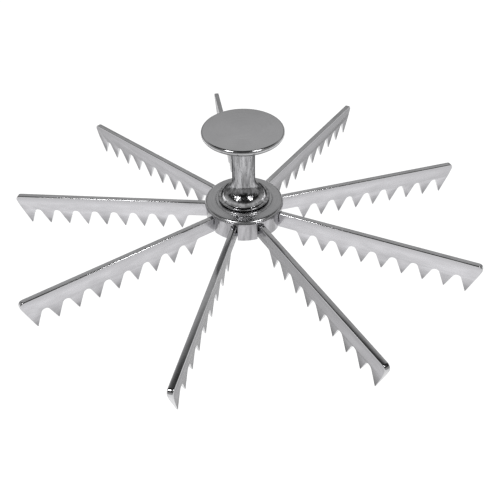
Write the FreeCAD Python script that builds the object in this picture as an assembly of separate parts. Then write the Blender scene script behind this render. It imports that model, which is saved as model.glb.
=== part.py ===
import FreeCAD, Part
import math
import os

# Nine-armed toothed star with a palm handle, for holding stretched carpet.
# Millimetres. +Z is up along the handle. The origin is on the handle's axis,
# in the plane of the tooth tips. One arm lies along +Y.

# Blades
BLADE_COUNT = 9
FIRST_BLADE_DEG = 90.0
BLADE_LEAN_DEG = (2.8, 2.0, -0.7, -1.0, 0.4, 2.4, -0.5, 0.3, 0.4)  # off the radial line
BLADE_SHIFT = (0.0, 0.0, 0.0, 0.0, -0.6, -1.2, 0.0, 0.0, 0.0)  # sideways, at the ring
BLADE_TOP_Z = 25.3
BLADE_TOP_THICKNESS = 4.2
BLADE_TIP_THICKNESS = 0.8
BLADE_TOP_EDGE_R = 0.5
BLADE_END_SLOPE = 0.33  # outward run of the end edge for each mm of height
BLADE_END_R = 3.4
NECK_Z = 13.1
NECK_R = 2.4

# Teeth
TOOTH_COUNT = 9
TOOTH_PITCH = 14.6
LAST_TIP_X = 164.4
TIP_FLAT = 0.4
FLANK_SLOPE = 0.4  # half width of a tooth for each mm of height
GULLET_R = 2.8

# Hub drum
DRUM_R = 27.9
DRUM_BOTTOM_Z = 12.5
DRUM_TOP_Z = 28.4
DRUM_EDGE_R = 0.5
LIP_R = 28.6  # ring above the slots
LIP_BOTTOM_Z = 25.9
LIP_TOP_EDGE_R = 1.2
LIP_BOTTOM_EDGE_R = 0.3
SLOT_WIDTH = 4.9
SLOT_INNER_R = 11.0
SLOT_TOP_GAP = 0.1
RECESS_R = 23.6
RECESS_TOP_Z = 15.5
TANG_GAP = 0.3

# Ring that hooks the blade tangs
RING_IN_R = 14.0
RING_OUT_R = 18.0
RING_HEIGHT = 3.5
RING_GAP = 0.5

# Base plate
PLATE_GAP = 0.2
PLATE_EDGE_R = 0.4

# Top flange
FLANGE_R = 28.2
FLANGE_TOP_Z = 29.7
FLANGE_EDGE_R = 2.5
FLANGE_EDGE_RUN = 0.75  # how far the rim leans in from foot to top
BOSS_R = 20.6
BOSS_TOP_Z = 31.0
BOSS_EDGE_R = 0.7
BOSS_FOOT_R = 0.8

# Bell collar
BELL_BORE_R = 8.2
BELL_SEAT_Z = 38.5
BELL_SEAT_R = 12.8
BELL_CONTACT_R = 15.5
BELL_RIM_R = 18.6
BELL_RIM_BOTTOM_Z = 31.9
BELL_BRIM_Z = 33.2
BELL_RIM_EDGE_R = 0.5

# Handle post
POST_R = 8.2
POST_SPIGOT_R = 8.15
POST_TOP_Z = 83.4
FLARE_R = 11.3
FLARE_TURN_DEG = 53.0
FLARE_TOP_Z = 47.6
SPIGOT_LIFT = 0.3

# Palm disc
DISC_R = 28.3
DISC_TOP_Z = 87.6
DISC_TOP_EDGE_R = 1.8
DISC_BOTTOM_EDGE_R = 2.2

# Centre bolt, washers and the stud under the disc
BOLT_SHANK_R = 3.95
BOLT_TAPPED_R = 4.0
BOLT_CLEAR_R = 4.3
BOLT_TOP_Z = 58.0
BOLT_HEAD_FLATS = 13.0
BOLT_HEAD_HEIGHT = 5.3
BOLT_CHAMFER = 0.7
TAPPED_TOP_Z = 61.0
WASHER_R = 8.0
WASHER_THICKNESS = 1.6
LOCK_WASHER_R = 6.9
LOCK_WASHER_BORE_R = 4.1
LOCK_WASHER_THICKNESS = 2.0
LOCK_WASHER_SPLIT = 1.2
STUD_R = 2.95
STUD_TAPPED_R = 3.0
STUD_BOTTOM_Z = 74.1
STUD_TOP_Z = 85.9
STUD_CHAMFER = 0.4
STUD_END_GAP = 0.2

AXIS_FOOT = FreeCAD.Vector(0, 0, 0)
UP = FreeCAD.Vector(0, 0, 1)


def point(x, z):
    return FreeCAD.Vector(x, 0, z)


def outline(corners):
    """Face in the XZ plane through corners (x, z) or (x, z, radius of the rounding)."""
    count = len(corners)
    ends = []
    for index, corner in enumerate(corners):
        here = point(corner[0], corner[1])
        radius = corner[2] if len(corner) > 2 else 0.0
        if not radius:
            ends.append((here, None, here))
            continue
        before = corners[index - 1]
        after = corners[(index + 1) % count]
        to_before = (point(before[0], before[1]) - here).normalize()
        to_after = (point(after[0], after[1]) - here).normalize()
        half_angle = to_before.getAngle(to_after) / 2
        reach = radius / math.tan(half_angle)
        inward = (to_before + to_after).normalize()
        middle = here + inward * (radius / math.sin(half_angle) - radius)
        ends.append((here + to_before * reach, middle, here + to_after * reach))
    edges = []
    for index, (start, middle, finish) in enumerate(ends):
        if middle is not None:
            edges.append(Part.Arc(start, middle, finish).toShape())
        next_start = ends[(index + 1) % count][0]
        if finish.distanceToPoint(next_start) > 1e-6:
            edges.append(Part.LineSegment(finish, next_start).toShape())
    return Part.Face(Part.Wire(edges))


def turned(corners):
    """Solid made by turning an outline of (radius, z) corners about the handle's axis."""
    return outline(corners).revolve(AXIS_FOOT, UP, 360)


def blade_corners():
    """Side outline of a blade: x is the distance from the hub's axis."""
    top_corner_x = LAST_TIP_X + BLADE_END_SLOPE * BLADE_TOP_Z
    tang_bottom_z = RECESS_TOP_Z + TANG_GAP
    notch_top_z = RECESS_TOP_Z + RING_HEIGHT + RING_GAP
    notch_in_x = RING_IN_R - RING_GAP
    notch_out_x = RING_OUT_R + RING_GAP
    tang_inner_x = SLOT_INNER_R + TANG_GAP
    shoulder_x = RECESS_R + TANG_GAP
    gullet_apex_z = (TOOTH_PITCH - TIP_FLAT) / 2 / FLANK_SLOPE

    corners = [(tang_inner_x, BLADE_TOP_Z), (top_corner_x, BLADE_TOP_Z, BLADE_END_R)]
    tip_x = LAST_TIP_X
    for tooth in range(TOOTH_COUNT):
        tip_x = LAST_TIP_X - tooth * TOOTH_PITCH
        corners += [(tip_x + TIP_FLAT / 2, 0), (tip_x - TIP_FLAT / 2, 0)]
        if tooth < TOOTH_COUNT - 1:
            corners.append((tip_x - TOOTH_PITCH / 2, gullet_apex_z, GULLET_R))
    neck_x = tip_x - TIP_FLAT / 2 - FLANK_SLOPE * NECK_Z
    corners += [
        (neck_x, NECK_Z, NECK_R),
        (shoulder_x, NECK_Z),
        (shoulder_x, tang_bottom_z),
        (notch_out_x, tang_bottom_z),
        (notch_out_x, notch_top_z),
        (notch_in_x, notch_top_z),
        (notch_in_x, tang_bottom_z),
        (tang_inner_x, tang_bottom_z),
    ]
    return corners


def blade_blank():
    """One blade along +X: thick along its top, thin at the tooth tips."""
    plate = outline(blade_corners())
    plate.translate(FreeCAD.Vector(0, -BLADE_TOP_THICKNESS, 0))
    plate = plate.extrude(FreeCAD.Vector(0, 2 * BLADE_TOP_THICKNESS, 0))
    half_top = BLADE_TOP_THICKNESS / 2
    half_tip = BLADE_TIP_THICKNESS / 2
    section = outline(
        [
            (-half_top, BLADE_TOP_Z, BLADE_TOP_EDGE_R),
            (half_top, BLADE_TOP_Z, BLADE_TOP_EDGE_R),
            (half_tip, 0),
            (-half_tip, 0),
        ]
    )
    section.rotate(AXIS_FOOT, UP, 90)
    wedge = section.extrude(FreeCAD.Vector(2 * LAST_TIP_X, 0, 0))
    return plate.common(wedge).Solids[0]


def set_round_hub(blank, index):
    """Copy a blade or slot made along +X to its place on the hub, with its lean and shift."""
    placed = blank.copy()
    ring_middle = FreeCAD.Vector((RING_IN_R + RING_OUT_R) / 2, 0, 0)
    placed.rotate(ring_middle, UP, BLADE_LEAN_DEG[index])
    placed.translate(FreeCAD.Vector(0, BLADE_SHIFT[index], 0))
    placed.rotate(AXIS_FOOT, UP, FIRST_BLADE_DEG + index * 360 / BLADE_COUNT)
    return placed


def hub_drum():
    """Lipped drum with a slot for each blade, open below, and a recess for the plate."""
    groove_top_z = RECESS_TOP_Z + RING_HEIGHT + RING_GAP
    drum = turned(
        [
            (BOLT_CLEAR_R, DRUM_TOP_Z),
            (LIP_R, DRUM_TOP_Z, LIP_TOP_EDGE_R),
            (LIP_R, LIP_BOTTOM_Z, LIP_BOTTOM_EDGE_R),
            (DRUM_R, LIP_BOTTOM_Z),
            (DRUM_R, DRUM_BOTTOM_Z, DRUM_EDGE_R),
            (RECESS_R, DRUM_BOTTOM_Z),
            (RECESS_R, RECESS_TOP_Z),
            (RING_OUT_R + RING_GAP, RECESS_TOP_Z),
            (RING_OUT_R + RING_GAP, groove_top_z),
            (RING_IN_R - RING_GAP, groove_top_z),
            (RING_IN_R - RING_GAP, RECESS_TOP_Z),
            (BOLT_CLEAR_R, RECESS_TOP_Z),
        ]
    )
    slot_height = BLADE_TOP_Z + SLOT_TOP_GAP
    corner = FreeCAD.Vector(SLOT_INNER_R, -SLOT_WIDTH / 2, 0)
    slot = Part.makeBox(DRUM_R, SLOT_WIDTH, slot_height, corner)
    for index in range(BLADE_COUNT):
        drum = drum.cut(set_round_hub(slot, index))
    return drum.Solids[0]


def blade_ring():
    ring_top_z = RECESS_TOP_Z + RING_HEIGHT
    return turned(
        [
            (RING_IN_R, RECESS_TOP_Z),
            (RING_OUT_R, RECESS_TOP_Z),
            (RING_OUT_R, ring_top_z, PLATE_EDGE_R),
            (RING_IN_R, ring_top_z, PLATE_EDGE_R),
        ]
    )


def base_plate():
    plate_r = RECESS_R - PLATE_GAP
    return turned(
        [
            (BOLT_CLEAR_R, DRUM_BOTTOM_Z),
            (plate_r, DRUM_BOTTOM_Z, PLATE_EDGE_R),
            (plate_r, RECESS_TOP_Z),
            (BOLT_CLEAR_R, RECESS_TOP_Z),
        ]
    )


def top_flange():
    """Cover over the drum, with a rounded rim and a low boss under the bell."""
    return turned(
        [
            (BOLT_CLEAR_R, DRUM_TOP_Z),
            (FLANGE_R, DRUM_TOP_Z),
            (FLANGE_R - FLANGE_EDGE_RUN, FLANGE_TOP_Z, FLANGE_EDGE_R),
            (BOSS_R, FLANGE_TOP_Z + 0.2, BOSS_FOOT_R / 2),
            (BOSS_R, BOSS_TOP_Z, BOSS_EDGE_R),
            (BOLT_CLEAR_R, BOSS_TOP_Z),
        ]
    )


def bell_collar():
    """Domed collar round the post's foot, with a thin brim held just off the boss."""
    dome_top = (14.0, 37.6, 9.8)
    dome_shoulder = (15.29, 35.82, 3.9)
    dome_foot = (16.45, BELL_BRIM_Z, 0.5)
    return turned(
        [
            (BELL_BORE_R, BOSS_TOP_Z),
            (BELL_CONTACT_R, BOSS_TOP_Z),
            (BELL_CONTACT_R, BELL_RIM_BOTTOM_Z),
            (BELL_RIM_R, BELL_RIM_BOTTOM_Z, BELL_RIM_EDGE_R),
            (BELL_RIM_R, BELL_BRIM_Z, BELL_RIM_EDGE_R),
            dome_foot,
            dome_shoulder,
            dome_top,
            (BELL_SEAT_R, BELL_SEAT_Z),
            (BELL_BORE_R, BELL_SEAT_Z),
        ]
    )


def handle_post():
    """Round column whose foot flares out onto the bell, with a spigot down its bore."""
    spigot_bottom_z = BOSS_TOP_Z + SPIGOT_LIFT
    flare_corner_z = FLARE_TOP_Z - FLARE_R * math.tan(math.radians(FLARE_TURN_DEG / 2))
    return turned(
        [
            (BOLT_TAPPED_R, spigot_bottom_z),
            (POST_SPIGOT_R, spigot_bottom_z),
            (POST_SPIGOT_R, BELL_SEAT_Z),
            (BELL_SEAT_R, BELL_SEAT_Z),
            (POST_R, flare_corner_z, FLARE_R),
            (POST_R, POST_TOP_Z),
            (STUD_TAPPED_R, POST_TOP_Z),
            (STUD_TAPPED_R, STUD_BOTTOM_Z - STUD_END_GAP),
            (0, STUD_BOTTOM_Z - STUD_END_GAP),
            (0, TAPPED_TOP_Z),
            (BOLT_TAPPED_R, TAPPED_TOP_Z),
        ]
    )


def palm_disc():
    bore_top_z = STUD_TOP_Z + STUD_END_GAP
    return turned(
        [
            (0, bore_top_z),
            (STUD_TAPPED_R, bore_top_z),
            (STUD_TAPPED_R, POST_TOP_Z),
            (DISC_R, POST_TOP_Z, DISC_BOTTOM_EDGE_R),
            (DISC_R, DISC_TOP_Z, DISC_TOP_EDGE_R),
            (0, DISC_TOP_Z),
        ]
    )


def disc_stud():
    return turned(
        [
            (0, STUD_BOTTOM_Z),
            (STUD_R - STUD_CHAMFER, STUD_BOTTOM_Z),
            (STUD_R, STUD_BOTTOM_Z + STUD_CHAMFER),
            (STUD_R, STUD_TOP_Z - STUD_CHAMFER),
            (STUD_R - STUD_CHAMFER, STUD_TOP_Z),
            (0, STUD_TOP_Z),
        ]
    )


def hex_prism(flats, bottom_z, height):
    corner_r = flats / math.sqrt(3)
    corners = []
    for index in range(7):
        angle = math.radians(60 * index)
        x, y = corner_r * math.cos(angle), corner_r * math.sin(angle)
        corners.append(FreeCAD.Vector(x, y, bottom_z))
    return Part.Face(Part.makePolygon(corners)).extrude(UP * height)


def tie_bolt():
    """Hexagon-head bolt up the hub's axis into the post."""
    head_top_z = DRUM_BOTTOM_Z - WASHER_THICKNESS - LOCK_WASHER_THICKNESS
    head_bottom_z = head_top_z - BOLT_HEAD_HEIGHT
    corner_r = BOLT_HEAD_FLATS / math.sqrt(3)
    head_shape = turned(
        [
            (0, head_bottom_z),
            (corner_r - BOLT_CHAMFER, head_bottom_z),
            (corner_r, head_bottom_z + BOLT_CHAMFER / 2),
            (corner_r, head_top_z),
            (0, head_top_z),
        ]
    )
    head = hex_prism(BOLT_HEAD_FLATS, head_bottom_z, BOLT_HEAD_HEIGHT).common(head_shape)
    shank = turned(
        [
            (0, head_bottom_z + BOLT_HEAD_HEIGHT / 2),
            (BOLT_SHANK_R, head_bottom_z + BOLT_HEAD_HEIGHT / 2),
            (BOLT_SHANK_R, BOLT_TOP_Z - BOLT_CHAMFER),
            (BOLT_SHANK_R - BOLT_CHAMFER, BOLT_TOP_Z),
            (0, BOLT_TOP_Z),
        ]
    )
    return head.fuse(shank).removeSplitter().Solids[0]


def flat_washer():
    bottom_z = DRUM_BOTTOM_Z - WASHER_THICKNESS
    return turned(
        [
            (BOLT_CLEAR_R, bottom_z),
            (WASHER_R, bottom_z, PLATE_EDGE_R / 2),
            (WASHER_R, DRUM_BOTTOM_Z),
            (BOLT_CLEAR_R, DRUM_BOTTOM_Z),
        ]
    )


def lock_washer():
    """Spring washer: a square-section ring with a slanting split."""
    top_z = DRUM_BOTTOM_Z - WASHER_THICKNESS
    bottom_z = top_z - LOCK_WASHER_THICKNESS
    ring = turned(
        [
            (LOCK_WASHER_BORE_R, bottom_z),
            (LOCK_WASHER_R, bottom_z),
            (LOCK_WASHER_R, top_z),
            (LOCK_WASHER_BORE_R, top_z),
        ]
    )
    middle_z = (top_z + bottom_z) / 2
    corner = FreeCAD.Vector(0, -LOCK_WASHER_SPLIT / 2, middle_z - LOCK_WASHER_R)
    split = Part.makeBox(2 * LOCK_WASHER_R, LOCK_WASHER_SPLIT, 2 * LOCK_WASHER_R, corner)
    split.rotate(FreeCAD.Vector(0, 0, middle_z), FreeCAD.Vector(1, 0, 0), 35)
    return ring.cut(split).Solids[0]


def build_nodes():
    nodes = {
        "palm_disc": palm_disc(),
        "disc_stud": disc_stud(),
        "handle_post": handle_post(),
        "bell_collar": bell_collar(),
        "top_flange": top_flange(),
        "hub_drum": hub_drum(),
        "blade_ring": blade_ring(),
        "base_plate": base_plate(),
        "tie_bolt": tie_bolt(),
        "flat_washer": flat_washer(),
        "lock_washer": lock_washer(),
    }
    blank = blade_blank()
    for index in range(BLADE_COUNT):
        nodes["blade_%d" % (index + 1)] = set_round_hub(blank, index)
    return nodes


os.makedirs("parts", exist_ok=True)
for name, shape in build_nodes().items():
    if not shape.isValid() or shape.Volume <= 0:
        raise ValueError("bad solid: " + name)
    shape.exportStep("parts/%s.step" % name)
    print("%-14s %9.1f mm3" % (name, shape.Volume))
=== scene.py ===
import logging
import math
from dataclasses import dataclass, field
from enum import Enum
from typing import Iterable, Optional, Sequence, Union

import bmesh
import bpy
from mathutils import Matrix, Vector


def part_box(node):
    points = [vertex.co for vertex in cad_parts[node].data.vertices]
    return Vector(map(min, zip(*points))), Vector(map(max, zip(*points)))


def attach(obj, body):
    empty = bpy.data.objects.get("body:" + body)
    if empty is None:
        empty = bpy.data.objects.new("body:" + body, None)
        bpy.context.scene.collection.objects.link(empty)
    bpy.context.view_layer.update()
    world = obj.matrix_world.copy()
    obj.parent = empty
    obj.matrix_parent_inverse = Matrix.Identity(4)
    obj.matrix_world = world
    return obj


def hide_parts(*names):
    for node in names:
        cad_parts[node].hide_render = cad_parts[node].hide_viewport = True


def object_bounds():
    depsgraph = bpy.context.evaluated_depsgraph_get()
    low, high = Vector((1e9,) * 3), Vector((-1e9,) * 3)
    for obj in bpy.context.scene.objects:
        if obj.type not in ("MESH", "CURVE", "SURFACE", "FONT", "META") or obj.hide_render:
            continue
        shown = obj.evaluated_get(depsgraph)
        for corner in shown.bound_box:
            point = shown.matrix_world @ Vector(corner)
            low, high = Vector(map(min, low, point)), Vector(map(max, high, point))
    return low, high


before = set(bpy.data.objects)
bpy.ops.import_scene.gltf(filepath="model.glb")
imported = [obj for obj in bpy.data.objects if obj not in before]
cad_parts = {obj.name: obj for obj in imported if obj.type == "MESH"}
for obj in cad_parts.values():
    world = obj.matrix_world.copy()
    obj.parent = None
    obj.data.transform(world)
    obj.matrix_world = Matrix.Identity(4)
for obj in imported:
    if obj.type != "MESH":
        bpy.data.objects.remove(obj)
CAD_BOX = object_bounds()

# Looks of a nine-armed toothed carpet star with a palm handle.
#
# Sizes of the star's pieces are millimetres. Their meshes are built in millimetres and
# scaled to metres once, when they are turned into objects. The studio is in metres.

LOG = logging.getLogger("carpet_star")
ROOT_BODY = "root"
MM = 0.001
BLADE_HEIGHT = 25.3
ARC_SEGMENTS = 8
SHARP_DEG = 30.0
AXIS_SLACK = 1e-6
MERGE_GAP = 1e-4

Corner = tuple[float, float, float]
Triple = tuple[float, float, float]
Tones = tuple[tuple[float, float], ...]
Socket = bpy.types.NodeSocket
Value = Union[bpy.types.NodeSocket, float]


class Grain(Enum):
    """How the tool marks run on a metal surface."""

    TURNED = "round the handle's axis"
    GROUND = "along the blade"
    SHEARED = "across the blade's thickness"
    TUMBLED = "no direction"


# ---------------------------------------------------------------- finishes

# Cells per metre of the tool marks. Turned marks are rings with a slow drift.
GRAIN_CELLS: dict[Grain, Triple] = {
    Grain.GROUND: (60.0, 2600.0, 1.0),
    Grain.SHEARED: (900.0, 300.0, 1.0),
    Grain.TUMBLED: (700.0, 700.0, 700.0),
}
TURNED_RINGS = 2500.0
TURNED_DRIFT = 1.5

CLOUD_DETAIL = 4.0
MARK_DETAIL = 3.0
SPECK_DETAIL = 2.0
WAVE_DETAIL = 2.0
SPECK_CELLS = 1100.0
NO_STRETCH = (1.0, 1.0, 1.0)

CLOUD_WEAR = 0.6
MARK_RELIEF = 0.8
HEIGHT_WARP = 0.35
LEAST_ROUGHNESS = 0.02
FINE_RELIEF = 0.00004
BROAD_RELIEF = 0.0004

# Numbers of a Mix node's colour sockets, which share their names with others.
MIX_FIRST = 6
MIX_SECOND = 7
MIX_RESULT = 2


class NodeDesk:
    """Adds and links the shader nodes of one material or world."""

    def __init__(self, owner: bpy.types.ID) -> None:
        """Start with no nodes.

        Args:
            owner: The material or world that is being built.
        """
        owner.use_nodes = True
        self.tree = owner.node_tree
        self.tree.nodes.clear()

    def add(self, kind: str, **settings: object) -> bpy.types.Node:
        """Add a node and set its properties.

        Args:
            kind: Blender's identifier of the node type.
            **settings: Property values of the node.

        Returns:
            The new node.
        """
        node = self.tree.nodes.new(kind)
        for key, value in settings.items():
            setattr(node, key, value)
        return node

    def link(self, source: Socket, target: Socket) -> None:
        """Join an output to an input."""
        self.tree.links.new(source, target)

    def place(self, source: str) -> Socket:
        """Add a Texture Coordinate node and return its named output."""
        return self.add("ShaderNodeTexCoord").outputs[source]

    def axes(self, vector: Socket) -> tuple[Socket, Socket, Socket]:
        """Split a vector.

        Args:
            vector: The vector.

        Returns:
            Its X, Y and Z.
        """
        node = self.add("ShaderNodeSeparateXYZ")
        self.link(vector, node.inputs[0])
        return node.outputs["X"], node.outputs["Y"], node.outputs["Z"]

    def math(self, operation: str, first: Value, second: Optional[Value] = None) -> Socket:
        """Add a Math node.

        Args:
            operation: Blender's name of the operation.
            first: A socket or a number.
            second: A socket, a number or None.

        Returns:
            The node's value output.
        """
        node = self.add("ShaderNodeMath", operation=operation)
        for index, value in enumerate((first, second)):
            if isinstance(value, bpy.types.NodeSocket):
                self.link(value, node.inputs[index])
            elif value is not None:
                node.inputs[index].default_value = value
        return node.outputs[0]

    def blend(self, first: Socket, second: Socket, share: float) -> Socket:
        """Add two values by their shares.

        Args:
            first: The value that has the given share.
            second: The value that has the rest.
            share: Share of the first, from 0 to 1.

        Returns:
            The sum.
        """
        return self.math(
            "ADD", self.math("MULTIPLY", first, share), self.math("MULTIPLY", second, 1.0 - share)
        )

    def noise(self, vector: Socket, detail: float, scale: float = 1.0) -> Socket:
        """Add a Noise texture.

        Args:
            vector: Where it is read.
            detail: Number of finer layers.
            scale: Cells per unit of the vector.

        Returns:
            Its factor output.
        """
        node = self.add("ShaderNodeTexNoise")
        node.inputs["Scale"].default_value = scale
        node.inputs["Detail"].default_value = detail
        self.link(vector, node.inputs["Vector"])
        return node.outputs["Fac"]

    def spread(
        self, value: Socket, low: float, high: float, inner: tuple[float, float] = (0.3, 0.7)
    ) -> Socket:
        """Map a value softly from one range onto another.

        Args:
            value: The value, a noise factor unless its own range is given.
            low: Result at the lower end.
            high: Result at the upper end.
            inner: The value's own range that is stretched.

        Returns:
            The mapped value.
        """
        node = self.add("ShaderNodeMapRange", interpolation_type="SMOOTHSTEP")
        node.inputs["From Min"].default_value = inner[0]
        node.inputs["From Max"].default_value = inner[1]
        node.inputs["To Min"].default_value = low
        node.inputs["To Max"].default_value = high
        self.link(value, node.inputs["Value"])
        return node.outputs["Result"]

    def ramp(self, value: Socket, tones: Tones) -> Socket:
        """Turn a value into greys.

        Args:
            value: A value from 0 to 1.
            tones: (position, grey) stops: the first, the last, then those between.

        Returns:
            The colour output.
        """
        node = self.add("ShaderNodeValToRGB")
        self.link(value, node.inputs["Fac"])
        stops = node.color_ramp.elements
        for index, (position, grey) in enumerate(tones):
            stop = stops[index] if index < 2 else stops.new(position)
            stop.position = position
            stop.color = (grey, grey, grey, 1.0)
        return node.outputs["Color"]

    def principled(self) -> bpy.types.Node:
        """Add a Principled shader that is joined to the material's output.

        Returns:
            The shader node.
        """
        output = self.add("ShaderNodeOutputMaterial")
        shader = self.add("ShaderNodeBsdfPrincipled")
        self.link(shader.outputs["BSDF"], output.inputs["Surface"])
        return shader


@dataclass(frozen=True)
class MetalFinish:
    """A plated or bare metal surface with tool marks, clouding and fine pitting, and painted light
    and shade in its colour.

    Scales are noise cells per metre and the painted heights are millimetres. A tone or depth of
    0 leaves its layer flat. Tones by height are painted highlights and painted shade, and a
    glancing shade below 1 paints shade on slanting views; at 1 slanting views are left as bright.
    """

    name: str
    slot: str
    colour: Triple
    roughness: float
    grain: Grain
    grain_tone: float = 0.06
    grain_depth: float = 0.25
    cloud_tone: float = 0.08
    cloud_scale: Triple = (90.0, 90.0, 90.0)
    roughness_spread: float = 0.08
    wave_depth: float = 0.0
    wave_scale: Triple = (200.0, 200.0, 200.0)
    # Painted highlights and painted shade: grey stops by height, over the heights below.
    painted_light_tones: Tones = ()
    painted_light_heights: tuple[float, float] = (0.0, BLADE_HEIGHT)
    # Painted shade: below 1, slanting views are darkened.
    glancing_painted_shade: float = 1.0
    glancing_painted_shade_span: tuple[float, float] = (0.45, 0.85)
    edge_tint: float = 1.0

    @property
    def follows(self) -> str:
        """Coordinates that the pattern follows: a blade's own map or the object's."""
        return "UV" if self.grain in (Grain.GROUND, Grain.SHEARED) else "Object"

    def _scaled(self, desk: NodeDesk, source: str, scale: Triple) -> Socket:
        """Texture coordinates stretched by a scale for each axis.

        Args:
            desk: The material being built.
            source: Output of the Texture Coordinate node.
            scale: Cells per metre along each axis.

        Returns:
            A vector output.
        """
        mapping = desk.add("ShaderNodeMapping")
        mapping.inputs["Scale"].default_value = scale
        desk.link(desk.place(source), mapping.inputs["Vector"])
        return mapping.outputs["Vector"]

    def _grain_vector(self, desk: NodeDesk) -> Socket:
        """Coordinates in which the tool marks are long in one direction.

        Args:
            desk: The material being built.

        Returns:
            A vector output, in cells across the marks.
        """
        if self.grain is not Grain.TURNED:
            return self._scaled(desk, self.follows, GRAIN_CELLS[self.grain])
        x, y, z = desk.axes(desk.place("Object"))
        squares = desk.math("ADD", desk.math("MULTIPLY", x, x), desk.math("MULTIPLY", y, y))
        radius = desk.math("SQRT", squares)
        swing = desk.math("SINE", desk.math("ARCTAN2", y, x))
        join = desk.add("ShaderNodeCombineXYZ")
        desk.link(desk.math("MULTIPLY", radius, TURNED_RINGS), join.inputs["X"])
        desk.link(desk.math("MULTIPLY", swing, TURNED_DRIFT), join.inputs["Y"])
        desk.link(desk.math("MULTIPLY", z, TURNED_RINGS), join.inputs["Z"])
        return join.outputs[0]

    def _tone(self, desk: NodeDesk, cloud: Socket, marks: Socket) -> Socket:
        """Brightness factor from clouding and marks, plus painted light and shade by slant and height.

        Args:
            desk: The material being built.
            cloud: Large noise.
            marks: Noise of the tool marks.

        Returns:
            A value about 1.
        """
        tone = desk.math(
            "MULTIPLY",
            desk.spread(cloud, 1 - self.cloud_tone, 1 + self.cloud_tone / 2),
            desk.spread(marks, 1 - self.grain_tone, 1 + self.grain_tone / 2),
        )
        # Painted shade: slanting views are darkened, standing in for dark reflections at the sides.
        if self.glancing_painted_shade < 1.0:
            facing = desk.add("ShaderNodeLayerWeight").outputs["Facing"]
            glancing = desk.spread(facing, 1.0, self.glancing_painted_shade, self.glancing_painted_shade_span)
            tone = desk.math("MULTIPLY", tone, glancing)
        # Painted light and shade by height: a grey ramp brightens or darkens bands of the surface.
        if not self.painted_light_tones:
            return tone
        _, map_height, height = desk.axes(desk.place(self.follows))
        low, high = self.painted_light_heights
        rise = desk.math("SUBTRACT", map_height if self.follows == "UV" else height, low * MM)
        warp = desk.math("MULTIPLY", desk.math("SUBTRACT", cloud, 0.5), HEIGHT_WARP)
        share = desk.math("ADD", desk.math("DIVIDE", rise, (high - low) * MM), warp)
        return desk.math("MULTIPLY", tone, desk.ramp(share, self.painted_light_tones))

    def _relief(self, desk: NodeDesk, marks: Socket, speck: Socket) -> Socket:
        """Fine marks and pits, on slow waves where the finish has them.

        Args:
            desk: The material being built.
            marks: Noise of the tool marks.
            speck: Fine noise.

        Returns:
            A normal output.
        """
        fine = desk.add("ShaderNodeBump")
        fine.inputs["Strength"].default_value = self.grain_depth
        fine.inputs["Distance"].default_value = FINE_RELIEF
        desk.link(desk.blend(marks, speck, MARK_RELIEF), fine.inputs["Height"])
        if self.wave_depth:
            broad = desk.add("ShaderNodeBump")
            broad.inputs["Strength"].default_value = self.wave_depth
            broad.inputs["Distance"].default_value = BROAD_RELIEF
            waves = desk.noise(self._scaled(desk, "Object", self.wave_scale), WAVE_DETAIL)
            desk.link(waves, broad.inputs["Height"])
            desk.link(broad.outputs["Normal"], fine.inputs["Normal"])
        return fine.outputs["Normal"]

    def material(self) -> bpy.types.Material:
        """Build the shader.

        Returns:
            The new material.
        """
        made = bpy.data.materials.new(self.name)
        desk = NodeDesk(made)
        shader = desk.principled()
        shader.inputs["Metallic"].default_value = 1.0
        shader.inputs["Specular Tint"].default_value = (*[self.edge_tint] * 3, 1.0)

        cloud = desk.noise(self._scaled(desk, self.follows, self.cloud_scale), CLOUD_DETAIL)
        speck = desk.noise(self._scaled(desk, "Object", NO_STRETCH), SPECK_DETAIL, SPECK_CELLS)
        marks = desk.noise(self._grain_vector(desk), MARK_DETAIL)

        tint = desk.add("ShaderNodeVectorMath", operation="SCALE")
        tint.inputs[0].default_value = self.colour
        desk.link(self._tone(desk, cloud, marks), tint.inputs["Scale"])
        desk.link(tint.outputs["Vector"], shader.inputs["Base Color"])

        smoothest = max(LEAST_ROUGHNESS, self.roughness - self.roughness_spread)
        roughest = self.roughness + self.roughness_spread
        worn = desk.blend(cloud, speck, CLOUD_WEAR)
        desk.link(desk.spread(worn, smoothest, roughest), shader.inputs["Roughness"])
        desk.link(self._relief(desk, marks, speck), shader.inputs["Normal"])
        return made


DISC_NICKEL = MetalFinish(
    name="disc_nickel",
    slot="polished_plate",
    colour=(0.64, 0.64, 0.65),
    roughness=0.16,
    grain=Grain.TURNED,
    grain_tone=0.04,
    grain_depth=0.12,
    cloud_tone=0.06,
    cloud_scale=(60.0, 60.0, 60.0),
    roughness_spread=0.05,
    # Painted shade: the rim darkens towards its underside, standing in for dark reflections round its
    # edge.
    painted_light_tones=((0.0, 0.25), (1.0, 1.0), (0.42, 0.35), (0.6, 0.8)),
    painted_light_heights=(83.4, 87.4),
)
BELL_CHROME = MetalFinish(
    name="bell_chrome",
    slot="polished_plate",
    colour=(0.62, 0.62, 0.63),
    roughness=0.1,
    grain=Grain.TURNED,
    cloud_tone=0.4,
    cloud_scale=(420.0, 420.0, 420.0),
    roughness_spread=0.07,
    wave_depth=0.35,
    wave_scale=(600.0, 600.0, 600.0),
    # Painted highlight and painted shade: a bright band across the dome, darker towards the brim and the
    # seat.
    painted_light_tones=((0.0, 0.7), (1.0, 0.6), (0.2, 0.9), (0.45, 1.4), (0.75, 0.9)),
    painted_light_heights=(32.8, 38.5),
    # Painted shade: the dome's slanting sides are darkened.
    glancing_painted_shade=0.3,
    glancing_painted_shade_span=(0.5, 0.8),
    edge_tint=0.15,
)
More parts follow.
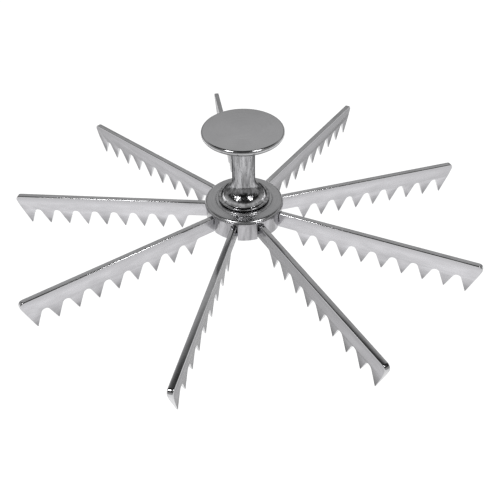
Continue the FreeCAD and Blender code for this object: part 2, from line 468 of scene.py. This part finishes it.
POST_NICKEL = MetalFinish(
    name="post_nickel",
    slot="turned_plate",
    colour=(0.4, 0.4, 0.41),
    roughness=0.13,
    grain=Grain.TURNED,
    grain_depth=0.3,
    # Vertically stretched clouding: wear streaks, and painted reflections of the streaky surroundings.
    cloud_tone=0.5,
    cloud_scale=(520.0, 520.0, 55.0),
    roughness_spread=0.06,
    wave_depth=0.9,
    wave_scale=(480.0, 480.0, 90.0),
    # Painted shade: slanting views of the post are darkened.
    glancing_painted_shade=0.35,
    edge_tint=0.3,
)
FLANGE_NICKEL = MetalFinish(
    name="flange_nickel",
    slot="turned_plate",
    colour=(0.58, 0.58, 0.59),
    roughness=0.25,
    grain=Grain.TURNED,
    grain_tone=0.1,
    cloud_tone=0.1,
    cloud_scale=(120.0, 120.0, 120.0),
    roughness_spread=0.06,
)
DRUM_SATIN = MetalFinish(
    name="drum_satin",
    slot="satin_plate",
    colour=(0.42, 0.415, 0.43),
    roughness=0.18,
    grain=Grain.TUMBLED,
    grain_tone=0.05,
    grain_depth=0.2,
    cloud_tone=0.35,
    cloud_scale=(260.0, 260.0, 40.0),
    wave_depth=0.6,
    wave_scale=(260.0, 260.0, 40.0),
)
BLADE_SIDE = MetalFinish(
    name="blade_side",
    slot="blade_steel",
    colour=(0.585, 0.58, 0.6),
    roughness=0.26,
    grain=Grain.GROUND,
    grain_tone=0.04,
    grain_depth=0.2,
    cloud_tone=0.12,
    cloud_scale=(55.0, 110.0, 1.0),
    # Painted shade: the sides darken towards the tooth tips and slightly towards the top edge.
    painted_light_tones=((0.0, 0.52), (1.0, 0.8), (0.22, 0.79), (0.5, 1.07), (0.8, 1.05)),
    # Painted shade: slanting views of the sides are darkened.
    glancing_painted_shade=0.54,
    glancing_painted_shade_span=(0.25, 0.85),
    edge_tint=0.7,
)
BLADE_EDGE = MetalFinish(
    name="blade_edge",
    slot="blade_steel",
    colour=(0.6, 0.6, 0.61),
    roughness=0.14,
    grain=Grain.SHEARED,
    grain_depth=0.03,
    cloud_tone=0.14,
    cloud_scale=(70.0, 300.0, 1.0),
    roughness_spread=0.05,
)
ZINC = MetalFinish(
    name="zinc_plate",
    slot="zinc_steel",
    colour=(0.56, 0.57, 0.6),
    roughness=0.35,
    grain=Grain.TUMBLED,
)
SPRING = MetalFinish(
    name="spring_steel",
    slot="spring_steel",
    colour=(0.22, 0.22, 0.24),
    roughness=0.4,
    grain=Grain.TUMBLED,
)


class Paint:
    """Makes each finish's material once and hands it out."""

    def __init__(self) -> None:
        """Start with no materials."""
        self._made: dict[str, bpy.types.Material] = {}

    def of(self, finish: MetalFinish) -> bpy.types.Material:
        """Material of a finish.

        Args:
            finish: The finish wanted.

        Returns:
            Its material, made on the first call.
        """
        if finish.name not in self._made:
            self._made[finish.name] = finish.material()
        return self._made[finish.name]


# ---------------------------------------------------------------- mesh tools


def rounded_outline(
    mesh: bmesh.types.BMesh, corners: Sequence[Corner], segments: int = ARC_SEGMENTS
) -> None:
    """Draw a closed outline in the XZ plane, with an arc at each rounded corner.

    Args:
        mesh: The mesh being built.
        corners: (x, z, radius) of each corner, in order.
        segments: Number of segments in each arc.
    """
    places = [Vector((x, 0.0, z)) for x, z, _ in corners]
    count = len(corners)
    ends: list[tuple[bmesh.types.BMVert, bmesh.types.BMVert]] = []
    for index, (_, _, radius) in enumerate(corners):
        here = places[index]
        if radius <= 0:
            vert = mesh.verts.new(here)
            ends.append((vert, vert))
            continue
        before = (places[index - 1] - here).normalized()
        after = (places[(index + 1) % count] - here).normalized()
        half = before.angle(after) / 2
        start = mesh.verts.new(here + before * (radius / math.tan(half)))
        middle = here + (before + after).normalized() * (radius / math.sin(half))
        swept = bmesh.ops.spin(
            mesh,
            geom=[start],
            cent=middle,
            axis=after.cross(before).normalized(),
            angle=math.pi - 2 * half,
            steps=segments,
        )
        finish = next(item for item in swept["geom_last"] if isinstance(item, bmesh.types.BMVert))
        ends.append((start, finish))
    for index, (_, finish) in enumerate(ends):
        mesh.edges.new((finish, ends[(index + 1) % count][0]))


def finished_object(
    name: str, mesh: bmesh.types.BMesh, materials: Iterable[bpy.types.Material] = ()
) -> bpy.types.Object:
    """Scale a mesh to metres and put it in the scene.

    Args:
        name: Name of the piece.
        mesh: Mesh in millimetres, freed here.
        materials: Materials, by face material index.

    Returns:
        The new object.
    """
    bmesh.ops.recalc_face_normals(mesh, faces=mesh.faces)
    bmesh.ops.scale(mesh, vec=(MM, MM, MM), verts=mesh.verts)
    data = bpy.data.meshes.new(name)
    mesh.to_mesh(data)
    mesh.free()
    for material in materials:
        data.materials.append(material)
    data.set_sharp_from_angle(angle=math.radians(SHARP_DEG))
    thing = bpy.data.objects.new(name, data)
    bpy.context.scene.collection.objects.link(thing)
    return thing


def settle(thing: bpy.types.Object, finish: MetalFinish, *nodes: str) -> None:
    """Attach a piece to the root body and hide the CAD nodes that it stands for.

    Args:
        thing: The piece.
        finish: Its main finish; not used.
        *nodes: CAD nodes that it stands for.
    """
    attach(thing, ROOT_BODY)
    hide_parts(*nodes)
    LOG.info("%s: %d faces", thing.name, len(thing.data.polygons))


def span(node: str) -> tuple[float, float, float]:
    """Radius, lowest and highest point of a turned CAD node, in millimetres."""
    low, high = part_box(node)
    return (high.x - low.x) / 2 / MM, low.z / MM, high.z / MM


# ---------------------------------------------------------------- turned pieces


@dataclass
class TurnedPiece:
    """A piece turned about the handle's axis from an outline."""

    name: str
    node: str
    finish: MetalFinish
    corners: list[Corner]
    steps: int = 144
    segments: int = ARC_SEGMENTS

    def mesh(self) -> bmesh.types.BMesh:
        """Spin the outline into a closed skin.

        Returns:
            The mesh, in millimetres.
        """
        mesh = bmesh.new()
        rounded_outline(mesh, self.corners, self.segments)
        on_axis = [
            edge for edge in mesh.edges if all(abs(vert.co.x) < AXIS_SLACK for vert in edge.verts)
        ]
        bmesh.ops.delete(mesh, geom=on_axis, context="EDGES")
        bmesh.ops.spin(
            mesh,
            geom=mesh.verts[:] + mesh.edges[:],
            cent=(0, 0, 0),
            axis=(0, 0, 1),
            angle=2 * math.pi,
            steps=self.steps,
            use_merge=True,
        )
        bmesh.ops.remove_doubles(mesh, verts=mesh.verts, dist=MERGE_GAP)
        for skin in mesh.faces:
            skin.smooth = True
        return mesh

    def build(self, paint: Paint) -> None:
        settle(finished_object(self.name, self.mesh(), [paint.of(self.finish)]), self.finish, self.node)


@dataclass
class Handle:
    """Palm disc, post and bell collar."""

    disc_top_r: float = 1.8
    disc_bottom_r: float = 2.2
    post_r: float = 8.2
    post_top_edge_r: float = 0.25
    flare_top_z: float = 47.6
    flare_r: float = 11.3
    flare_turn_deg: float = 53.0
    spigot_gap: float = 0.05
    spigot_edge_r: float = 0.3
    seat_edge_r: float = 0.12
    bell_bore_r: float = 8.2
    bell_contact_r: float = 15.5
    bell_foot_edge_r: float = 0.2
    brim_top_z: float = 33.2
    brim_edge_r: float = 0.5
    rim_bottom_z: float = 31.9
    dome_foot: tuple[float, float] = (16.45, 0.5)
    dome_shoulder: Corner = (15.29, 35.82, 3.9)
    dome_top: Corner = (14.0, 37.6, 9.8)

    def palm_disc(self) -> TurnedPiece:
        """Outline the flat disc that the palm pushes on.

        Returns:
            The disc, ready to build.
        """
        radius, low, high = span("palm_disc")
        corners = [
            (0.0, low, 0.0),
            (radius, low, self.disc_bottom_r),
            (radius, high, self.disc_top_r),
            (0.0, high, 0.0),
        ]
        return TurnedPiece("disc_body", "palm_disc", DISC_NICKEL, corners)

    def post(self) -> TurnedPiece:
        """Outline the column, its flared foot and the spigot under it.

        Returns:
            The post, ready to build.
        """
        foot_r, low, high = span("handle_post")
        _, _, seat_z = span("bell_collar")
        flare_drop = self.flare_r * math.tan(math.radians(self.flare_turn_deg / 2))
        spigot_r = self.bell_bore_r - self.spigot_gap
        corners = [
            (0.0, low, 0.0),
            (spigot_r, low, self.spigot_edge_r),
            (spigot_r, seat_z, 0.0),
            (foot_r, seat_z, self.seat_edge_r),
            (self.post_r, self.flare_top_z - flare_drop, self.flare_r),
            (self.post_r, high, self.post_top_edge_r),
            (0.0, high, 0.0),
        ]
        return TurnedPiece("post_body", "handle_post", POST_NICKEL, corners)

    def bell(self) -> TurnedPiece:
        """Outline the domed collar and its thin brim.

        Returns:
            The bell, ready to build.
        """
        rim_r, low, high = span("bell_collar")
        seat_r, _, _ = span("handle_post")
        dome_foot_r, dome_foot_edge_r = self.dome_foot
        corners = [
            (self.bell_bore_r, low, 0.0),
            (self.bell_contact_r, low, self.bell_foot_edge_r),
            (self.bell_contact_r, self.rim_bottom_z, self.bell_foot_edge_r),
            (rim_r, self.rim_bottom_z, self.brim_edge_r),
            (rim_r, self.brim_top_z, self.brim_edge_r),
            (dome_foot_r, self.brim_top_z, dome_foot_edge_r),
            self.dome_shoulder,
            self.dome_top,
            (seat_r, high, self.seat_edge_r),
            (self.bell_bore_r, high, 0.0),
        ]
        return TurnedPiece("bell_body", "bell_collar", BELL_CHROME, corners)

    def build(self, paint: Paint) -> None:
        """Build the handle's pieces."""
        for piece in (self.palm_disc(), self.post(), self.bell()):
            piece.build(paint)


# ---------------------------------------------------------------- hub


@dataclass(frozen=True)
class StarLayout:
    """How the blades and their slots sit round the hub, from blade_1 on."""

    count: int = 9
    first_deg: float = 90.0
    pivot_r: float = 16.0
    leans_deg: tuple[float, ...] = (2.8, 2.0, -0.7, -1.0, 0.4, 2.4, -0.5, 0.3, 0.4)
    shifts: tuple[float, ...] = (0.0, 0.0, 0.0, 0.0, -0.6, -1.2, 0.0, 0.0, 0.0)

    def place(self, index: int) -> Matrix:
        """Place of a blade and its slot, from a blade made along +X.

        Args:
            index: Number of the blade, counted from 0.

        Returns:
            A matrix for millimetres.
        """
        heading = Matrix.Rotation(math.radians(self.first_deg + index * 360 / self.count), 4, "Z")
        aside = Matrix.Translation((self.pivot_r, self.shifts[index], 0))
        lean = Matrix.Rotation(math.radians(self.leans_deg[index]), 4, "Z")
        return heading @ aside @ lean @ Matrix.Translation((-self.pivot_r, 0, 0))


@dataclass
class Hub:
    """Top flange and slotted drum."""

    layout: StarLayout
    bore_r: float = 4.3
    flange_rim_z: float = 29.7
    flange_edge_r: float = 2.5
    flange_edge_run: float = 0.75
    boss_r: float = 20.6
    boss_edge_r: float = 0.7
    boss_foot_rise: float = 0.2
    boss_foot_r: float = 0.4
    drum_r: float = 27.9
    drum_foot_edge_r: float = 0.5
    drum_arc_segments: int = 4
    recess_r: float = 23.6
    recess_top_z: float = 15.5
    recess_edge_r: float = 0.2
    lip_low_z: float = 25.9
    lip_low_edge_r: float = 0.3
    lip_edge_r: float = 1.2
    slot_width: float = 4.9
    slot_inner_r: float = 11.0
    slot_top_gap: float = 0.1
    slot_overrun: float = 2.0
    edge_break: float = 0.25
    edge_break_segments: int = 2
    edge_break_deg: float = 50.0

    def flange(self) -> TurnedPiece:
        """Outline the cover, with its rounded rim and low boss.

        Returns:
            The flange, ready to build.
        """
        radius, low, high = span("top_flange")
        corners = [
            (self.bore_r, low, 0.0),
            (radius, low, 0.0),
            (radius - self.flange_edge_run, self.flange_rim_z, self.flange_edge_r),
            (self.boss_r, self.flange_rim_z + self.boss_foot_rise, self.boss_foot_r),
            (self.boss_r, high, self.boss_edge_r),
            (self.bore_r, high, 0.0),
        ]
        return TurnedPiece("flange_body", "top_flange", FLANGE_NICKEL, corners)

    def _blank(self) -> TurnedPiece:
        """Outline the drum before its slots are cut, with a lip above them and a recess below.

        Returns:
            The drum's blank, ready to spin.
        """
        lip_r, low, high = span("hub_drum")
        corners = [
            (self.bore_r, self.recess_top_z, 0.0),
            (self.recess_r, self.recess_top_z, 0.0),
            (self.recess_r, low, self.recess_edge_r),
            (self.drum_r, low, self.drum_foot_edge_r),
            (self.drum_r, self.lip_low_z, 0.0),
            (lip_r, self.lip_low_z, self.lip_low_edge_r),
            (lip_r, high, self.lip_edge_r),
            (self.bore_r, high, 0.0),
        ]
        return TurnedPiece("drum_body", "hub_drum", DRUM_SATIN, corners, segments=self.drum_arc_segments)

    def _slot_cutter(self) -> bpy.types.Object:
        """Radial bars that cut the drum's slots.

        Returns:
            A helper object, removed after the cut.
        """
        radius, low, _ = span("hub_drum")
        _, _, blade_top = span("blade_1")
        top = blade_top + self.slot_top_gap
        bottom = low - self.slot_overrun
        length = radius + self.slot_overrun - self.slot_inner_r
        middle = Vector((self.slot_inner_r + length / 2, 0.0, (top + bottom) / 2))
        cutter = bmesh.new()
        for index in range(self.layout.count):
            made = bmesh.ops.create_cube(cutter, size=1.0)["verts"]
            bmesh.ops.scale(cutter, vec=(length, self.slot_width, top - bottom), verts=made)
            bmesh.ops.translate(cutter, vec=middle, verts=made)
            bmesh.ops.transform(cutter, matrix=self.layout.place(index), verts=made)
        return finished_object("slot_cutter", cutter)

    def drum(self, paint: Paint) -> None:
        """Args:
            paint: Where materials come from.
        """
        blank = self._blank()
        thing = finished_object(blank.name, blank.mesh(), [paint.of(blank.finish)])
        cutter = self._slot_cutter()
        cut = thing.modifiers.new("slots", "BOOLEAN")
        cut.operation = "DIFFERENCE"
        cut.solver = "EXACT"
        cut.object = cutter
        ease = thing.modifiers.new("broken_edges", "BEVEL")
        ease.width = self.edge_break * MM
        ease.segments = self.edge_break_segments
        ease.limit_method = "ANGLE"
        ease.angle_limit = math.radians(self.edge_break_deg)
        shaped = bpy.data.meshes.new_from_object(
            thing.evaluated_get(bpy.context.evaluated_depsgraph_get())
        )
        thing.modifiers.clear()
        thing.data = shaped
        shaped.set_sharp_from_angle(angle=math.radians(SHARP_DEG))
        bpy.data.objects.remove(cutter)
        settle(thing, blank.finish, blank.node)

    def build(self, paint: Paint) -> None:
        """Build the hub's pieces."""
        self.flange().build(paint)
        self.drum(paint)


# ---------------------------------------------------------------- blades


@dataclass
class Blade:
    """One toothed blade with a wedge section, set in its slot."""

    index: int
    layout: StarLayout
    top_z: float = BLADE_HEIGHT
    top_thickness: float = 4.2
    tip_thickness: float = 0.8
    tooth_count: int = 9
    tooth_pitch: float = 14.6
    last_tip_x: float = 164.4
    tip_flat: float = 0.4
    flank_slope: float = 0.4
    gullet_r: float = 2.8
    end_slope: float = 0.33
    end_r: float = 3.4
    neck_z: float = 13.1
    neck_r: float = 2.4
    tang_x: float = 11.3
    tang_z: float = 15.8
    shoulder_x: float = 23.9
    top_edge_r: float = 0.75
    top_edge_segments: int = 6
    top_band: float = 4.4
    edge_break: float = 0.15
    edge_break_segments: int = 2
    band_gap: float = 0.2
    ridge_deg: float = 40.0
    side_facing: float = 0.9
    arc_face_area: float = 3.0
    map_step: float = 0.37

    def corners(self) -> list[Corner]:
        """Side outline, from the tang round the top, the end, the teeth and the neck.

        Returns:
            Corners in the blade's own plane.
        """
        gullet_z = (self.tooth_pitch - self.tip_flat) / 2 / self.flank_slope
        flat = self.tip_flat / 2
        points = [
            (self.tang_x, self.top_z, 0.0),
            (self.last_tip_x + self.end_slope * self.top_z, self.top_z, self.end_r),
        ]
        for tooth in range(self.tooth_count):
            tip = self.last_tip_x - tooth * self.tooth_pitch
            points += [(tip + flat, 0.0, 0.0), (tip - flat, 0.0, 0.0)]
            if tooth < self.tooth_count - 1:
                points.append((tip - self.tooth_pitch / 2, gullet_z, self.gullet_r))
        first_tip = self.last_tip_x - (self.tooth_count - 1) * self.tooth_pitch
        points += [
            (first_tip - flat - self.flank_slope * self.neck_z, self.neck_z, self.neck_r),
            (self.shoulder_x, self.neck_z, 0.0),
            (self.shoulder_x, self.tang_z, 0.0),
            (self.tang_x, self.tang_z, 0.0),
        ]
        return points

    def half_thickness(self, height: float) -> float:
        """Half the blade's thickness at a height above the tooth tips."""
        share = height / self.top_z
        return (self.tip_thickness + (self.top_thickness - self.tip_thickness) * share) / 2

    def mesh(self) -> bmesh.types.BMesh:
        """Build the blade at its place on the hub.

        Returns:
            The mesh, in millimetres.
        """
        mesh = bmesh.new()
        rounded_outline(mesh, self.corners())
        face = bmesh.ops.edgeloop_fill(mesh, edges=mesh.edges)["faces"][0]
        near = set(mesh.verts)
        bmesh.ops.extrude_face_region(mesh, geom=[face], use_keep_orig=True)
        for vert in mesh.verts:
            side = -1.0 if vert in near else 1.0
            vert.co.y = side * self.half_thickness(vert.co.z)
        bmesh.ops.recalc_face_normals(mesh, faces=mesh.faces)
        top_line = self.top_z - self.top_band
        self._round_ridges(mesh, top_line, math.inf, self.top_edge_r, self.top_edge_segments)
        self._round_ridges(
            mesh, -math.inf, top_line - self.band_gap, self.edge_break, self.edge_break_segments
        )
        self._mark_faces(mesh)
        bmesh.ops.transform(mesh, matrix=self.layout.place(self.index), verts=mesh.verts)
        return mesh

    def _round_ridges(
        self, mesh: bmesh.types.BMesh, lowest: float, highest: float, radius: float, segments: int
    ) -> None:
        """Round the side faces' sharp edges in a band of heights.

        Args:
            mesh: The blade, before it is placed.
            lowest: Edges have their middle above this height.
            highest: Edges have their middle below this height.
            radius: Radius of the rounding.
            segments: Number of segments across it.
        """
        ridges = []
        for edge in mesh.edges:
            start, end = (vert.co for vert in edge.verts)
            on_side = start.y * end.y > 0 and lowest < (start.z + end.z) / 2 < highest
            if on_side and edge.calc_face_angle(0.0) > math.radians(self.ridge_deg):
                ridges.append(edge)
        made = bmesh.ops.bevel(
            mesh,
            geom=ridges,
            offset=radius,
            offset_type="OFFSET",
            segments=segments,
            profile=0.5,
            affect="EDGES",
            clamp_overlap=True,
            material=-1,
        )
        for skin in made["faces"]:
            skin.smooth = True

    def _mark_faces(self, mesh: bmesh.types.BMesh) -> None:
        """Give side faces and edge faces their materials and lay out the grain.

        Args:
            mesh: The blade, before it is placed.
        """
        layer = mesh.loops.layers.uv.new("grain")
        shift = self.map_step * self.index
        for skin in mesh.faces:
            is_side = abs(skin.normal.y) > self.side_facing and not skin.smooth
            skin.material_index = 0 if is_side else 1
            skin.smooth = skin.smooth or (not is_side and skin.calc_area() < self.arc_face_area)
            for loop in skin.loops:
                across = loop.vert.co.z if is_side else loop.vert.co.y
                loop[layer].uv = (loop.vert.co.x * MM + shift, across * MM)

    def build(self, paint: Paint) -> None:
        """Args:
            paint: Where materials come from.
        """
        number = self.index + 1
        materials = [paint.of(BLADE_SIDE), paint.of(BLADE_EDGE)]
        thing = finished_object(f"blade_body_{number}", self.mesh(), materials)
        settle(thing, BLADE_SIDE, f"blade_{number}")


@dataclass
class BladeStar:
    """All the blades, each a little off its radial line."""

    layout: StarLayout

    def build(self, paint: Paint) -> None:
        """Build every blade."""
        for index in range(self.layout.count):
            Blade(index, self.layout).build(paint)


# ---------------------------------------------------------------- kept nodes


@dataclass
class HiddenWorks:
    """Fasteners and plates kept from the frame, with better finishes."""

    finishes: dict[str, MetalFinish] = field(
        default_factory=lambda: {
            "disc_stud": ZINC,
            "blade_ring": ZINC,
            "base_plate": ZINC,
            "tie_bolt": ZINC,
            "flat_washer": ZINC,
            "lock_washer": SPRING,
        }
    )

    def dress(self, paint: Paint) -> None:
        """Give each kept node its material.

        Args:
            paint: Where materials come from.
        """
        for node, finish in self.finishes.items():
            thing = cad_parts[node]
            for slot in thing.material_slots:
                slot.material = paint.of(finish)
            LOG.info("%s: dressed in %s", node, finish.name)


# ---------------------------------------------------------------- studio


@dataclass
class Studio:
    """Camera, floor, lights and surroundings, in metres."""

    view_deg: float = -5.56
    rise_deg: float = 39.93
    distance: float = 0.48467
    tilt: float = 0.0325
    pan: float = 0.0078
    roll_deg: float = 1.0786
    lens: float = 45.893
    sensor: float = 36.0
    clip_start: float = 0.01
    floor_half: float = 6.0
    floor_gap: float = 0.0002
    floor_grey: float = 0.25
    floor_roughness: float = 0.9
    floor_gloss: float = 0.1
    paper_r: float = 0.66
    paper_back: float = 0.42
    paper_fade: float = 0.35
    paper_glow: float = 0.97
    outer_glow: float = 0.02
    lamp_side_deg: float = 52.5
    lamp_rise_deg: float = 59.5
    lamp_reach: float = 1.2
    lamp_width: float = 0.2
    lamp_height: float = 0.34
    lamp_watts: float = 2.6
    wall_turn: tuple[float, float] = (-0.52, -0.34)
    back_tones: Tones = ((0.0, 0.1), (1.0, 0.03), (0.3, 0.3), (0.5, 0.47), (0.76, 0.47), (0.85, 0.06))
    front_tones: Tones = ((0.0, 0.4), (1.0, 0.02), (0.25, 0.42), (0.48, 0.32), (0.62, 0.03))

    def camera(self) -> None:
        """Point the camera at the hub's foot, then turn it slightly off."""
        rise = math.radians(self.rise_deg)
        turn = Matrix.Rotation(math.radians(self.view_deg), 3, "Z")
        right = turn @ Vector((1, 0, 0))
        back = turn @ Vector((0, -math.cos(rise), math.sin(rise)))
        upward = back.cross(right)
        aim = Matrix((right, upward, back)).transposed()
        aim = aim @ Matrix.Rotation(-self.pan, 3, "Y")
        aim = aim @ Matrix.Rotation(-self.tilt, 3, "X")
        aim = aim @ Matrix.Rotation(-math.radians(self.roll_deg), 3, "Z")
        data = bpy.data.cameras.new("camera")
        data.lens = self.lens
        data.sensor_width = self.sensor
        data.clip_start = self.clip_start
        eye = bpy.data.objects.new("camera", data)
        eye.matrix_world = Matrix.Translation(back * self.distance) @ aim.to_4x4()
        bpy.context.scene.collection.objects.link(eye)
        bpy.context.scene.camera = eye

    def _paper(self) -> bpy.types.Material:
        """White paper that glows round the star and fades to grey far out.

        Returns:
            The floor's material.
        """
        made = bpy.data.materials.new("floor_paper")
        desk = NodeDesk(made)
        shader = desk.principled()
        shader.inputs["Base Color"].default_value = (*[self.floor_grey] * 3, 1.0)
        shader.inputs["Roughness"].default_value = self.floor_roughness
        shader.inputs["Specular IOR Level"].default_value = self.floor_gloss
        shader.inputs["Emission Color"].default_value = (1.0, 1.0, 1.0, 1.0)
        offset = desk.add("ShaderNodeMapping")
        offset.inputs["Location"].default_value = (0.0, -self.paper_back, 0.0)
        desk.link(desk.place("Object"), offset.inputs["Vector"])
        reach = desk.add("ShaderNodeVectorMath", operation="LENGTH")
        desk.link(offset.outputs["Vector"], reach.inputs[0])
        fade = (self.paper_r, self.paper_r + self.paper_fade)
        glow = desk.spread(reach.outputs["Value"], self.paper_glow, self.outer_glow, fade)
        desk.link(glow, shader.inputs["Emission Strength"])
        return made

    def floor(self) -> None:
        """Lay a plain pale floor just under the tooth tips."""
        mesh = bmesh.new()
        bmesh.ops.create_grid(mesh, x_segments=1, y_segments=1, size=self.floor_half)
        bmesh.ops.translate(mesh, vec=(0, 0, CAD_BOX[0][2] - self.floor_gap), verts=mesh.verts)
        data = bpy.data.meshes.new("floor")
        mesh.to_mesh(data)
        mesh.free()
        data.materials.append(self._paper())
        thing = bpy.data.objects.new("floor", data)
        bpy.context.scene.collection.objects.link(thing)
        LOG.info("%s: laid", thing.name)

    def lamp(self, name: str, azimuth_deg: float) -> None:
        """Hang an upright oval softbox that faces the hub.

        Args:
            name: Name of the light.
            azimuth_deg: Direction from the camera's side, positive to the right.
        """
        data = bpy.data.lights.new(name, "AREA")
        data.shape = "ELLIPSE"
        data.size = self.lamp_width
        data.size_y = self.lamp_height
        data.energy = self.lamp_watts
        thing = bpy.data.objects.new(name, data)
        angle = math.radians(self.view_deg - 90 + azimuth_deg)
        rise = math.radians(self.lamp_rise_deg)
        spot = Vector((math.cos(angle) * math.cos(rise), math.sin(angle) * math.cos(rise), math.sin(rise)))
        facing = spot.to_track_quat("Z", "Y").to_matrix().to_4x4()
        thing.matrix_world = Matrix.Translation(spot * self.lamp_reach) @ facing
        bpy.context.scene.collection.objects.link(thing)

    def surroundings(self) -> None:
        """Dim room: a tall grey wall behind the star, a lower one in front, a dark ceiling."""
        world = bpy.data.worlds.new("room")
        desk = NodeDesk(world)
        output = desk.add("ShaderNodeOutputWorld")
        glow = desk.add("ShaderNodeBackground")
        direction = desk.place("Generated")
        _, _, height = desk.axes(direction)
        angle = math.radians(self.view_deg - 90)
        toward = desk.add("ShaderNodeVectorMath", operation="DOT_PRODUCT")
        toward.inputs[1].default_value = (math.cos(angle), math.sin(angle), 0.0)
        desk.link(direction, toward.inputs[0])
        mix = desk.add("ShaderNodeMix", data_type="RGBA")
        desk.link(desk.spread(toward.outputs["Value"], 0.0, 1.0, self.wall_turn), mix.inputs["Factor"])
        desk.link(desk.ramp(height, self.back_tones), mix.inputs[MIX_FIRST])
        desk.link(desk.ramp(height, self.front_tones), mix.inputs[MIX_SECOND])
        desk.link(mix.outputs[MIX_RESULT], glow.inputs["Color"])
        desk.link(glow.outputs["Background"], output.inputs["Surface"])
        bpy.context.scene.world = world

    def build(self) -> None:
        """Set up the whole studio."""
        bpy.context.scene.view_settings.view_transform = "Standard"
        self.camera()
        self.floor()
        self.surroundings()
        self.lamp("left_lamp", -self.lamp_side_deg)
        self.lamp("right_lamp", self.lamp_side_deg)


def main() -> None:
    logging.basicConfig(level=logging.INFO, format="%(name)s: %(message)s")
    paint = Paint()
    layout = StarLayout()
    Studio().build()
    Handle().build(paint)
    Hub(layout).build(paint)
    BladeStar(layout).build(paint)
    HiddenWorks().dress(paint)


if __name__ == "__main__":
    main()
